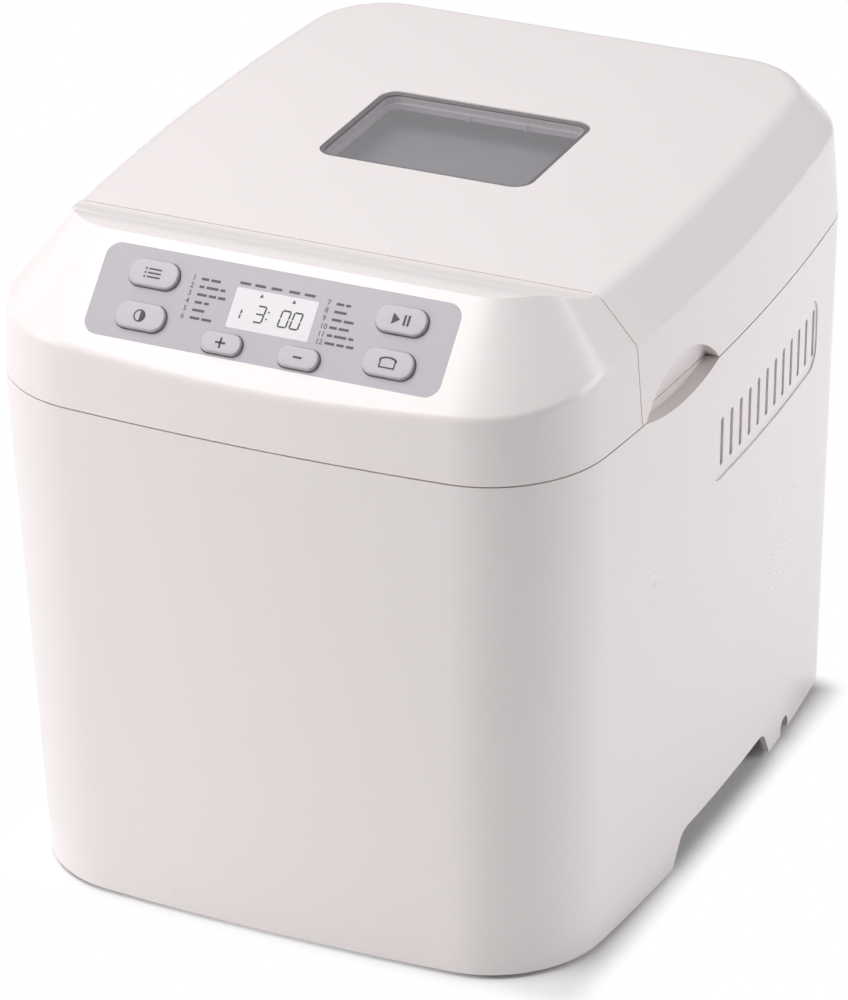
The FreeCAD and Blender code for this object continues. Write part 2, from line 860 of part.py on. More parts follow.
# Tube bent round the foot of the chamber, with both ends led out through the front wall
def heating_element():
    z = element_height
    front = drive_y - element_half_y
    back = drive_y + element_half_y
    end_y = chamber_front() - element_end_reach
    turn = element_corner * (1 - math.sqrt(0.5))
    bend = element_bend * (1 - math.sqrt(0.5))
    x = element_terminal_x
    right = [
        (V(x, end_y, z), V(x, front - element_bend, z)),
        (V(x, front - element_bend, z), V(x + bend, front - bend, z), V(x + element_bend, front, z)),
        (V(x + element_bend, front, z), V(element_half_x - element_corner, front, z)),
        (V(element_half_x - element_corner, front, z), V(element_half_x - turn, front + turn, z),
         V(element_half_x, front + element_corner, z)),
        (V(element_half_x, front + element_corner, z), V(element_half_x, back - element_corner, z)),
        (V(element_half_x, back - element_corner, z), V(element_half_x - turn, back - turn, z),
         V(element_half_x - element_corner, back, z)),
    ]
    left = [tuple(V(-p.x, p.y, p.z) for p in reversed(step)) for step in reversed(right)]
    steps = right + [(right[-1][-1], left[0][0])] + left
    edges = [Part.Arc(*s).toShape() if len(s) == 3 else Part.LineSegment(*s).toShape() for s in steps]
    section = Part.Wire(Part.makeCircle(element_radius, V(x, end_y, z), V(0, 1, 0)))
    return Part.Wire(edges).makePipeShell([section], True, False)


def element_terminals():
    front = chamber_front()
    collars = []
    for x in element_ends():
        sleeve = bar_y(x, front - terminal_length, front, element_height, terminal_radius)
        collars.append(sleeve.cut(bar_y(x, front - terminal_length, front, element_height, element_radius)))
    return Part.makeCompound(collars)


def element_clips():
    inner = chamber_half_x - chamber_wall
    z0 = element_height - clip_height / 2
    clips = []
    for y in (drive_y - element_half_y / 2, drive_y + element_half_y / 2):
        clip = block(element_half_x, inner, y - clip_width / 2, y + clip_width / 2, z0, z0 + clip_height)
        rod = bar_y(element_half_x, y - clip_width, y + clip_width, element_height, element_radius)
        clips += both_sides(clip.cut(rod))
    return Part.makeCompound(clips)


def temperature_sensor():
    front = chamber_front()
    rod = bar_y(sensor_x, front - sensor_length / 2, front + sensor_length / 2, sensor_height, sensor_radius)
    nut = bar_y(sensor_x, front - sensor_nut_length, front, sensor_height, sensor_nut_radius)
    return merge([rod, nut])


def thermal_fuse():
    y = chamber_front() - fuse_radius
    body = bar_x(fuse_x - fuse_length / 2, fuse_x + fuse_length / 2, y, fuse_height, fuse_radius)
    clip = block(fuse_x - fuse_radius, fuse_x + fuse_radius, y, y + fuse_radius,
                 fuse_height - 2 * fuse_radius, fuse_height + 2 * fuse_radius)
    return merge([body, clip])


# Ring with two bayonet pockets that let the pan turn between its stops
def pan_seat():
    z0 = chamber_floor_top
    seat = ring(0, drive_y, z0, z0 + seat_height, seat_radius, seat_bore)
    ledge = ring(0, drive_y, z0, z0 + seat_ledge, seat_bore, foot_ring_bore)
    seat = merge([seat, ledge])
    spare = twist_lug_half_angle + twist_spare_angle
    reach = foot_ring_radius + twist_lug_reach + part_gap
    sweep = 2 * spare + twist_angle
    for angle in (0, 180):
        pocket = drive_sector(reach, z0 + seat_ledge, z0 + seat_height, angle - spare, sweep)
        seat = seat.cut(pocket)
    return seat


def pan_foot():
    z0 = chamber_floor_top + seat_ledge + part_gap
    foot = ring(0, drive_y, z0, pan_floor, foot_ring_radius, foot_ring_bore)
    half = twist_lug_half_angle
    reach = foot_ring_radius + twist_lug_reach
    inside = post(0, drive_y, z0, pan_floor, foot_ring_bore)
    top = z0 + twist_lug_height
    lugs = [drive_sector(reach, z0, top, angle - half, 2 * half).cut(inside) for angle in (0, 180)]
    return merge([foot] + lugs)


def pan_prism(inset, z0, z1):
    return rounded_prism(pan_half_x - inset, pan_half_y - inset, pan_corner - inset, 0, drive_y, z0, z1)


def bread_pan():
    tub = pan_prism(0, pan_floor, pan_top)
    rim = pan_prism(-pan_rim_width, pan_top - pan_rim_height, pan_top)
    tub = merge([tub, rim]).cut(pan_prism(pan_wall, pan_floor + pan_wall, pan_top))
    return tub.cut(post(0, drive_y, pan_floor, pan_floor + pan_wall, pan_bush_radius))


def pan_bush():
    z1 = pan_floor + pan_bush_height
    return ring(0, drive_y, pan_floor, z1, pan_bush_radius, shaft_radius + running_clearance)


def handle_pivots():
    eye_start = pan_half_x + pan_rim_width + bail_side_gap
    stud_end = eye_start + bail_eye_width + part_gap
    stud = bar_x(pan_half_x, stud_end, drive_y, pivot_height, pivot_radius)
    head = bar_x(stud_end, stud_end + pivot_head_thickness, drive_y, pivot_height, pivot_head_radius)
    return Part.makeCompound(both_sides(merge([stud, head])))


# Bail of round wire with an eye at each end, leaning back over the pan rim at rest
def pan_handle():
    eye_start = pan_half_x + pan_rim_width + bail_side_gap
    arm_x = eye_start + bail_eye_width / 2
    turn = bail_corner * (1 - math.sqrt(0.5))
    start = bail_eye_radius - bail_radius
    steps = [
        (V(arm_x, start, 0), V(arm_x, bail_reach - bail_corner, 0)),
        (V(arm_x, bail_reach - bail_corner, 0), V(arm_x - turn, bail_reach - turn, 0),
         V(arm_x - bail_corner, bail_reach, 0)),
        (V(arm_x - bail_corner, bail_reach, 0), V(-arm_x + bail_corner, bail_reach, 0)),
        (V(-arm_x + bail_corner, bail_reach, 0), V(-arm_x + turn, bail_reach - turn, 0),
         V(-arm_x, bail_reach - bail_corner, 0)),
        (V(-arm_x, bail_reach - bail_corner, 0), V(-arm_x, start, 0)),
    ]
    edges = [Part.Arc(*s).toShape() if len(s) == 3 else Part.LineSegment(*s).toShape() for s in steps]
    section = Part.Wire(Part.makeCircle(bail_radius, V(arm_x, start, 0), V(0, 1, 0)))
    wire = Part.Wire(edges).makePipeShell([section], True, False)
    eyes = both_sides(bar_x(eye_start, eye_start + bail_eye_width, 0, 0, bail_eye_radius))
    bail = merge([wire] + eyes)
    bore = bar_x(-half_width, half_width, 0, 0, pivot_radius + running_clearance)
    bail = bail.cut(bore)
    bail.rotate(V(0, 0, 0), V(1, 0, 0), bail_rest_angle)
    bail.translate(V(0, drive_y, pivot_height))
    return bail


def pan_shaft():
    return post(0, drive_y, upper_hub_bottom, pan_shaft_top, shaft_radius)


def kneading_paddle():
    z0 = pan_floor + pan_bush_height + paddle_gap
    hub = post(0, drive_y, z0, z0 + paddle_hub_height, paddle_hub_radius)
    half = paddle_thickness / 2
    nose_x = paddle_reach - paddle_blade_height
    blade = block(0, nose_x, drive_y - half, drive_y + half, z0, z0 + paddle_blade_height)
    nose = bar_y(nose_x, drive_y - half, drive_y + half, z0, paddle_blade_height)
    quarter = block(nose_x, paddle_reach, drive_y - half, drive_y + half, z0, z0 + paddle_blade_height)
    nose = nose.common(quarter)
    paddle = merge([hub, blade, nose])
    return paddle.cut(post(0, drive_y, z0, pan_shaft_top, shaft_radius))


def lid_space(y0, y1):
    return block(-half_width, half_width, y0, y1, skirt_bottom, rim_height + wall)


def lid_form(inset):
    top = plateau_height - inset
    form = skirt_form(skirt_bottom, rim_height, inset).common(hip_form(skirt_bottom, top, inset, lid_tilt))
    return form.common(lid_space(split_y + split_gap + inset, rear_reach))


# Band edge and top edge of the lid, both soft
def lid_outer():
    form = soften(lid_form(0), crease_soft, skirt_bottom + 2 * wall, plateau_height - 1)
    return soften(form, top_soft, plateau_height - 1, rim_height)


def on_lid_top(shape):
    shape.rotate(V(0, split_y, plateau_height), V(1, 0, 0), lid_tilt)
    return shape


def window_prism(inset, drop_low, drop_high):
    prism = rounded_prism(window_half_x - inset, window_half_y - inset, window_corner - inset,
                          0, window_center_y, plateau_height - drop_low, plateau_height - drop_high)
    return on_lid_top(prism)


def lid_boss_places():
    return [(x, y) for x in (-lid_boss_x, lid_boss_x) for y in (lid_boss_front_y, lid_boss_rear_y)]


def ear_ranges():
    return [(x - ear_width / 2, x + ear_width / 2) for x in (-hinge_x, hinge_x)]


def knuckle_ranges():
    spans = []
    for x0, x1 in ear_ranges():
        spans.append((x0 - part_gap - knuckle_width, x0 - part_gap))
        spans.append((x1 + part_gap, x1 + part_gap + knuckle_width))
    return spans


def lid_shell():
    outer = lid_outer()
    shell = outer.cut(lid_form(wall))
    core = lid_form(wall / 2)
    flange_top = liner_bottom + liner_thickness
    bosses = [post(x, y, flange_top, rim_height, lid_boss_radius).common(core) for x, y in lid_boss_places()]
    pockets = [pocket.common(outer) for pocket in both_sides(lid_grip(grip_wall))]
    shell = shell.multiFuse(bosses + pockets)
    for scoop in both_sides(lid_grip(0)):
        shell = shell.cut(scoop)
    relief = side_profile([(hinge_y, 0), (rear_reach + wall, 0), (rear_reach + wall, hinge_height),
                           (hinge_y, hinge_height - lid_edge_relief)], half_width)
    shell = shell.cut(relief)
    for x0, x1 in ear_ranges():
        reach = ear_radius + ear_gap
        slot = block(x0 - part_gap, x1 + part_gap, hinge_y - ear_stem_depth - 4 * reach, rear_reach + wall,
                     seam_height, hinge_height + reach)
        shell = shell.cut(slot)
    knuckles = [bar_x(x0, x1, hinge_y, hinge_height, knuckle_radius) for x0, x1 in knuckle_ranges()]
    shell = shell.multiFuse(knuckles)
    for x0, x1 in knuckle_ranges():
        shell = shell.cut(bar_x(x0, x1, hinge_y, hinge_height, pin_radius))
    return shell.cut(window_prism(0, gasket_depth + wall, -wall)).removeSplitter()


def hinge_pins():
    reach = ear_width / 2 + part_gap + knuckle_width
    return Part.makeCompound([bar_x(x - reach, x + reach, hinge_y, hinge_height, pin_radius)
                              for x in (-hinge_x, hinge_x)])


def hinge_brackets():
    brackets = []
    rear = rear_reach - wall - 2 * part_gap
    for x0, x1 in ear_ranges():
        stem = block(x0, x1, rear - ear_stem_depth, rear, ear_stem_bottom, hinge_height)
        stem = stem.common(casing_form(ear_stem_bottom - 1, seam_height + 2 * wall, wall + part_gap))
        eye = bar_x(x0, x1, hinge_y, hinge_height, ear_radius)
        bracket = merge([stem, eye])
        brackets.append(bracket.cut(bar_x(x0, x1, hinge_y, hinge_height, pin_radius + running_clearance)))
    return Part.makeCompound(brackets)


def liner_flange(inset, z0, z1):
    half_y = (liner_rear_y - liner_front_y) / 2
    middle = (liner_rear_y + liner_front_y) / 2
    return rounded_prism(liner_half_x - inset, half_y - inset, liner_corner - inset, 0, middle, z0, z1)


def dish(inset, top):
    corner = dish_corner - inset
    foot_half = (dish_foot_half_x - inset, dish_foot_half_y - inset)
    top_half = (dish_top_half_x - inset, dish_top_half_y - inset)
    foot = rounded_wire(*foot_half, corner, 0, drive_y, liner_bottom)
    head = rounded_wire(*top_half, corner, 0, drive_y, top)
    return Part.makeLoft([foot, head], True, True)


def inner_pane_prism(clearance, z0, z1):
    half_x = window_half_x + inner_pane_margin - clearance
    half_y = window_half_y + inner_pane_margin - clearance
    return rounded_prism(half_x, half_y, window_corner, 0, window_center_y, z0, z1)


def lid_liner():
    plate = liner_flange(0, liner_bottom, liner_bottom + liner_thickness)
    liner = merge([plate, dish(0, dish_top)]).cut(dish(liner_thickness, dish_top - liner_thickness))
    return liner.cut(inner_pane_prism(0, dish_top - liner_thickness, dish_top))


def window_inner_pane():
    return inner_pane_prism(0, dish_top - liner_thickness, dish_top)


def window_gasket():
    frame = window_prism(0, gasket_depth, gasket_sink)
    return frame.cut(window_prism(gasket_width, gasket_depth, gasket_sink))


def window_pane():
    return window_prism(gasket_width, pane_sink + pane_thickness, pane_sink)


def lid_seal():
    bottom = collar_top + seal_clearance
    inset = liner_half_x - dish_foot_half_x - seal_width
    outer = liner_flange(inset, bottom, liner_bottom)
    return outer.cut(liner_flange(inset + seal_width, bottom, liner_bottom))


# Side view of the fascia: rim, S-shaped step down to the lid and the split face
def fascia_profile(inset):
    rear = split_y - inset
    rim = V(-half_width, rim_rear_y, rim_height - inset)
    low = V(-half_width, split_y, plateau_height - inset)
    middle = V(rim).add(low).multiply(0.5)
    run, drop = middle.y - rim.y, rim.z - middle.z
    radius = (run ** 2 + drop ** 2) / (2 * drop)
    half_turn = math.atan(drop / run)
    shift = V(0, radius * math.sin(half_turn), -radius * (1 - math.cos(half_turn)))
    front = -front_reach - wall
    corners = [low, V(-half_width, split_y, skirt_bottom), V(-half_width, front, skirt_bottom),
               V(-half_width, front, rim_height - inset), rim]
    edges = [Part.LineSegment(start, end).toShape() for start, end in zip(corners, corners[1:])]
    edges.append(Part.Arc(rim, rim.add(shift), middle).toShape())
    edges.append(Part.Arc(middle, low.sub(shift), low).toShape())
    form = Part.Face(Part.Wire(edges)).extrude(V(2 * half_width, 0, 0))
    return form.common(block(-half_width, half_width, front, rear, skirt_bottom, rim_height))


def fascia_form(inset):
    form = skirt_form(skirt_bottom, rim_height + wall, inset)
    form = form.common(hip_form(skirt_bottom, rim_height + wall, inset, 0))
    return form.common(fascia_profile(inset))


def fascia_outer():
    return soften(fascia_form(0), crease_soft, skirt_bottom + 2 * wall, band_side_height + wall)


# Moves a shape from the panel's own plane, with its centre at the origin, to the slope
def on_panel(shape):
    shape.rotate(V(0, 0, 0), V(1, 0, 0), panel_slope)
    shape.translate(V(0, panel_center_y, panel_center_height))
    return shape


def panel_prism(half_x, half_v, corner, x, v, low, high):
    return on_panel(rounded_prism(half_x, half_v, corner, x, v, low, high))


def display_prism(low, high):
    return panel_prism(display_half_x, display_half_v, display_corner, 0, display_v, low, high)


def button_places():
    places = {}
    for side, x in (("left", -1), ("right", 1)):
        for level, v in (("upper", pill_upper_v), ("lower", pill_lower_v)):
            places["button_%s_%s" % (side, level)] = (x * pill_x, v, pill_half_x, pill_half_v)
    places["button_plus"] = (-step_x, step_v, step_half_x, step_half_v)
    places["button_minus"] = (step_x, step_v, step_half_x, step_half_v)
    return places


def button_hole(place, low, high):
    x, v, half_x, half_v = place
    gap = button_clearance
    return panel_prism(half_x + gap, half_v + gap, half_v, x, v, low, high)


def board_posts():
    return [(x, v) for x in (-post_x, post_x) for v in (-post_v, post_v)]


def panel_post(x, v, low, high, radius):
    return on_panel(Part.makeCylinder(radius, high - low, V(x, v, low)))


def front_fascia():
    shell = fascia_outer().cut(fascia_form(wall))
    posts = [panel_post(x, v, -board_depth, -wall, post_radius) for x, v in board_posts()]
    lip_bottom = seam_height - lip_depth
    lip_top = skirt_bottom + lip_depth
    lip = casing_form(lip_bottom, lip_top, wall + part_gap)
    lip = lip.cut(casing_form(lip_bottom, lip_top, wall + part_gap + lip_thickness))
    lip = lip.common(block(-half_width, half_width, -front_reach, split_y, lip_bottom, lip_top))
    shell = shell.multiFuse(posts + [lip])
    shell = shell.cut(panel_prism(panel_half_x, panel_half_v, panel_corner, 0, 0, -panel_depth, 2 * wall))
    for place in button_places().values():
        shell = shell.cut(button_hole(place, -2 * wall, wall))
    shell = shell.cut(display_prism(-2 * wall, wall))
    for x, v in board_posts():
        shell = shell.cut(panel_post(x, v, -board_depth, -wall - 1, screw_radius))
    return shell.removeSplitter()


def control_overlay():
    sheet = panel_prism(panel_half_x, panel_half_v, panel_corner, 0, 0, -panel_depth, 0)
    for place in button_places().values():
        sheet = sheet.cut(button_hole(place, -panel_depth, 0))
    return sheet.cut(display_prism(-panel_depth, 0))


def display_lens():
    return display_prism(-lens_thickness, 0)


def display_module():
    half_x = display_half_x - module_frame
    half_v = display_half_v - module_frame / 2
    return panel_prism(half_x, half_v, display_corner, 0, display_v, -board_depth, -lens_thickness)


def button_low():
    return -wall - part_gap - button_flange_thickness


def push_button(place):
    x, v, half_x, half_v = place
    corner = half_v - button_clearance
    cap = rounded_prism(half_x, half_v, corner, x, v, button_low(), button_proud)
    rim = [edge for edge in cap.Edges if is_level(edge, button_proud)]
    cap = cap.makeFillet(button_proud / 2, rim)
    flange = rounded_prism(half_x + button_flange, half_v + button_flange, corner, x, v,
                           button_low(), -wall - part_gap)
    return on_panel(merge([cap, flange]))


def control_board():
    low = -board_depth - board_thickness
    board = panel_prism(board_half_x, board_half_v, post_radius, 0, 0, low, -board_depth)
    for x, v in board_posts():
        board = board.cut(panel_post(x, v, low, -board_depth, screw_radius))
    return board


def board_screws():
    low = -board_depth - board_thickness
    screws = []
    for x, v in board_posts():
        head = panel_post(x, v, low - screw_head_height, low, screw_head_radius - 1)
        screws.append(merge([head, panel_post(x, v, low, -board_depth / 2, screw_radius)]))
    return Part.makeCompound(screws)


def tact_switches():
    top = button_low() - button_travel - switch_gap
    switches = []
    for x, v, half_x, half_v in button_places().values():
        switches.append(panel_prism(switch_half, switch_half, switch_half / 4, x, v, -board_depth, top))
    return Part.makeCompound(switches)


def power_board():
    top = chassis_top + power_height
    return block(power_x, power_x + board_thickness, power_front_y, power_rear_y, chassis_top, top)


def power_components():
    parts = []
    z = chassis_top + component_spacing
    for deep, wide, tall in (transformer_size, relay_size, terminal_block_size):
        middle = (power_front_y + power_rear_y) / 2
        parts.append(block(power_x - deep, power_x, middle - wide / 2, middle + wide / 2, z, z + tall))
        z += tall + component_spacing
    return Part.makeCompound(parts)


# Flat cable from the top of the power board up to the underside of the control board
def ribbon_cable():
    low = V(power_x - ribbon_thickness, ribbon_y, chassis_top + power_height - component_spacing)
    knee = V(low.x, ribbon_y, chassis_top + power_height + component_spacing)
    board_rise = (ribbon_y - panel_center_y) * math.tan(math.radians(panel_slope))
    drop = (board_depth + board_thickness + part_gap) / math.cos(math.radians(panel_slope))
    top = V(ribbon_x, ribbon_y, panel_center_height + board_rise - drop)
    points = [low, knee, top]
    far = [point.add(V(ribbon_thickness, 0, 0)) for point in reversed(points)]
    face = Part.Face(Part.makePolygon(points + far + [low]))
    return face.extrude(V(0, ribbon_width, 0))


def cord_gland():
    share = (seam_height - gland_height) / (seam_height - casing_bottom)
    outside = rear_reach - base_rear_inset * share
    inside = outside - wall
    back, proud = inside - gland_inside, outside + gland_proud
    body = bar_y(gland_x, back, proud, gland_height, gland_body_radius)
    inner = bar_y(gland_x, back, inside - part_gap, gland_height, gland_radius)
    outer = bar_y(gland_x, outside + part_gap, proud, gland_height, gland_radius)
    return merge([body, inner, outer]).cut(bar_y(gland_x, back, proud, gland_height, gland_bore))


nodes = [
    body_casing, base_plate, rubber_feet, base_screws, chassis_frame, bearing_housing, shaft_bushes,
    drive_shaft, large_pulley, lower_coupling, drive_belt, small_pulley, motor_shaft, motor_fan,
    motor_housing, motor_bracket, motor_screws, motor_capacitor, chamber_liner, chamber_spacers,
    chamber_collar, heating_element, element_terminals, element_clips, temperature_sensor, thermal_fuse,
    pan_seat, pan_foot, bread_pan, pan_bush, handle_pivots, pan_handle, pan_shaft, upper_coupling,
    kneading_paddle, lid_shell, lid_liner, lid_seal, window_pane, window_inner_pane, window_gasket,
    hinge_pins, hinge_brackets, front_fascia, control_overlay, display_lens, display_module,
    control_board, board_screws, tact_switches, power_board, power_components, ribbon_cable, cord_gland,
]

os.makedirs("parts", exist_ok=True)
shapes = {make.__name__: make() for make in nodes}
for name, place in button_places().items():
    shapes[name] = push_button(place)
for name, shape in shapes.items():
    shape.exportStep("parts/%s.step" % name)
    print(name, len(shape.Solids), shape.isValid(), round(shape.Volume))
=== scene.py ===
import json
import math
import bmesh
import bpy
from mathutils import Matrix, Vector


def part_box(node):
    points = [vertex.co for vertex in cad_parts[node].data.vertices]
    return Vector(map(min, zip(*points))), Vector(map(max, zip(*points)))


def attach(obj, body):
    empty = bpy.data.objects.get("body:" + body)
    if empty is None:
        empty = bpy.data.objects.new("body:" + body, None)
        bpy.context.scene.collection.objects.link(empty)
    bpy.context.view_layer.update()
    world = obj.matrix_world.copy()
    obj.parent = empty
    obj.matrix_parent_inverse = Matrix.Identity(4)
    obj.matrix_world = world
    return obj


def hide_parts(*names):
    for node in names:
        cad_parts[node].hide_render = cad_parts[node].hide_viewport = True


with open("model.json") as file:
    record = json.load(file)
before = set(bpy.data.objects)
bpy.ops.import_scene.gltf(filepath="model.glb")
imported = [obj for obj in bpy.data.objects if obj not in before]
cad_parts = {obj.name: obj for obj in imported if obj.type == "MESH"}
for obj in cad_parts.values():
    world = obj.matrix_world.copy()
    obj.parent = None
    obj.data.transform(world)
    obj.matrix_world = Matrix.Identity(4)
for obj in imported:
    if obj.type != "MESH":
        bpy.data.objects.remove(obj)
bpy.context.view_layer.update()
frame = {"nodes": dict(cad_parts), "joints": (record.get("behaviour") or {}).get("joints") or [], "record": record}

mm = 0.001
scene = bpy.context.scene
nodes = frame["nodes"]
nodeBody = {node: body for body, group in frame["record"]["behaviour"]["bodies"].items() for node in group}
nodeSlot = {entry["node"]: entry["material_slot"] for entry in frame["record"]["subparts"]}
print("frame loaded:", len(nodes), "nodes")


# a shader socket that takes + and *, and makes any other node
class Wire:
    def __init__(self, tree, socket=None):
        self.tree = tree
        self.socket = socket

    def node(self, kind, settings=None, inputs=None, output=0):
        made = self.tree.nodes.new("ShaderNode" + kind)
        for name, value in (settings or {}).items():
            if name == "stops":  # places and grey levels along a ramp
                for stop, (spot, level) in zip(made.color_ramp.elements, value):
                    stop.position = spot
                    stop.color = (level, level, level, 1)
            else:
                setattr(made, name, value)
        for name, value in (inputs or {}).items():
            if isinstance(value, Wire):
                self.tree.links.new(value.socket, made.inputs[name])
            else:
                made.inputs[name].default_value = value
        return Wire(self.tree, made.outputs[output])

    def math(self, operation, *values):
        return self.node("Math", {"operation": operation}, dict(enumerate(values)))

    def __add__(self, other):
        return self.math("ADD", self, other)

    def __radd__(self, other):
        return self.math("ADD", other, self)

    def __mul__(self, other):
        return self.math("MULTIPLY", self, other)

    def __rmul__(self, other):
        return self.math("MULTIPLY", other, self)

    def mix(self, low, high):  # sockets 0, 6 and 7 are a colour mix's factor and its two ends, 2 its result
        return self.node("Mix", {"data_type": "RGBA"}, {0: self, 6: low, 7: high}, 2)


screenCurve = {"white": 255, "toe": 0.04045, "toeSlope": 12.92, "offset": 0.055, "power": 2.4}


def seen(red, green, blue):  # a colour as it looks on screen, 0 to 255, for a shader
    def level(value):
        share = value / screenCurve["white"]
        if share <= screenCurve["toe"]:
            return share / screenCurve["toeSlope"]
        return ((share + screenCurve["offset"]) / (1 + screenCurve["offset"])) ** screenCurve["power"]
    return (level(red), level(green), level(blue), 1)


def newMaterial(name, constants):
    material = bpy.data.materials.new(name)
    material.use_nodes = True
    tree = material.node_tree
    shader = tree.nodes["Principled BSDF"]
    for socket, value in constants.items():
        shader.inputs[socket].default_value = value
    return material, Wire(tree), shader


def place(wire, stretch=(1, 1, 1), turn=(0, 0, 0)):
    spot = wire.node("TexCoord", output="Object")
    return wire.node("Mapping", None, {"Vector": spot, "Scale": stretch, "Rotation": turn})


def noise(wire, where, scale, detail=2.0):
    return wire.node("TexNoise", None, {"Vector": where, "Scale": scale, "Detail": detail})


def plug(wire, shader, socket, value):
    wire.tree.links.new(value.socket, shader.inputs[socket])


def between(limits, share):
    low, high = limits
    return low + share * (high - low)


def bumpFrom(wire, height, look):
    return wire.node("Bump", None, {
        "Height": height, "Distance": look["grainDepth"] * mm, "Strength": look["grain"]})


# moulded or painted finish: faint drift of colour and gloss, and a fine surface texture
mouldedUsual = {"sockets": {}, "driftScale": 9.0, "driftShare": 0.6, "grainScale": 900.0, "grainDetail": 3.0,
                "grainDepth": 0.04, "grain": 0.1}


def mouldedFinish(name, look):
    look = {**mouldedUsual, **look}
    material, wire, shader = newMaterial(name, look["sockets"])
    where = place(wire)
    drift = noise(wire, where, look["driftScale"])
    grain = noise(wire, where, look["grainScale"], look["grainDetail"])
    plug(wire, shader, "Base Color", drift.mix(seen(*look["color"]), seen(*look["shade"])))
    gloss = drift * look["driftShare"] + grain * (1 - look["driftShare"])
    plug(wire, shader, "Roughness", between(look["rough"], gloss))
    if look["grain"]:
        plug(wire, shader, "Normal", bumpFrom(wire, grain, look))
    return material


# drawn sheet: long fine scratches along one way of the piece
brushedUsual = {"sockets": {}, "lineDetail": 4.0, "lineShare": 0.6, "cloudScale": 14.0, "grainDepth": 0.05,
                "grain": 0.12}


def brushedFinish(name, look):
    look = {**brushedUsual, **look}
    material, wire, shader = newMaterial(name, look["sockets"])
    lines = noise(wire, place(wire, look["stretch"]), look["lineScale"], look["lineDetail"])
    cloud = noise(wire, place(wire), look["cloudScale"])
    shine = lines * look["lineShare"] + cloud * (1 - look["lineShare"])
    plug(wire, shader, "Base Color", shine.mix(seen(*look["shade"]), seen(*look["color"])))
    plug(wire, shader, "Roughness", between(look["rough"], shine))
    plug(wire, shader, "Normal", bumpFrom(wire, lines, look))
    return material


# dark coating with small pale flecks
def speckledFinish(name, look):
    material, wire, shader = newMaterial(name, {})
    where = place(wire)
    cells = wire.node("TexVoronoi", None, {"Vector": where, "Scale": look["fleckScale"]})
    stops = ((look["fleck"], 1.0), (look["fleck"] + look["fleckFade"], 0.0))
    fleck = wire.node("ValToRGB", {"stops": stops}, {"Fac": cells})
    plug(wire, shader, "Base Color", fleck.mix(seen(*look["color"]), seen(*look["fleckColor"])))
    plug(wire, shader, "Roughness", between(look["rough"], noise(wire, where, look["cloudScale"])))
    plug(wire, shader, "Normal", bumpFrom(wire, noise(wire, where, look["grainScale"]), look))
    return material


# moulded strip with a dark rim on top in the gasket's own grey, and below it a pale wall that is a painted
# reflection of the gasket's lip, told apart by height over the tilted lid
def rimAndPaintedReflectionFinish(name, look):
    material, wire, shader = newMaterial(name, {})
    tilt = math.radians(look["tilt"])
    normal = Vector((0, -math.sin(tilt), math.cos(tilt)))
    top = max(vertex.co.dot(normal) for vertex in nodes[look["node"]].data.vertices)
    height = wire.node("VectorMath", {"operation": "DOT_PRODUCT"}, {
        0: wire.node("TexCoord", output="Object"), 1: normal}, "Value")
    rimFoot = top - look["rim"] * mm
    rim = wire.node("MapRange", {"interpolation_type": "SMOOTHSTEP"}, {
        "Value": height, "From Min": rimFoot - look["fade"] * mm, "From Max": rimFoot})
    # dark rim in the gasket's own grey; the pale wall below it is painted reflection, not the gasket's colour
    plug(wire, shader, "Base Color", rim.mix(seen(*look["wall"]), seen(*look["color"])))
    grain = noise(wire, place(wire), look["grainScale"], look["grainDetail"])
    plug(wire, shader, "Roughness", between(look["rough"], grain))
    return material


# lacquered board with paler copper tracks under the green
def boardFinish(name, look):
    material, wire, shader = newMaterial(name, {})
    tracks = wire.node("TexBrick", {"offset": look["stagger"]}, {
        "Vector": place(wire, turn=look["turn"]), "Scale": look["trackScale"],
        "Mortar Size": look["trackWidth"], "Mortar": seen(*look["track"]),
        "Color1": seen(*look["color"]), "Color2": seen(*look["shade"])})
    plug(wire, shader, "Base Color", tracks)
    plug(wire, shader, "Roughness", between(look["rough"], noise(wire, place(wire), look["cloudScale"])))
    return material


lidTilt = 0.8  # degrees that the lid top rises to the rear

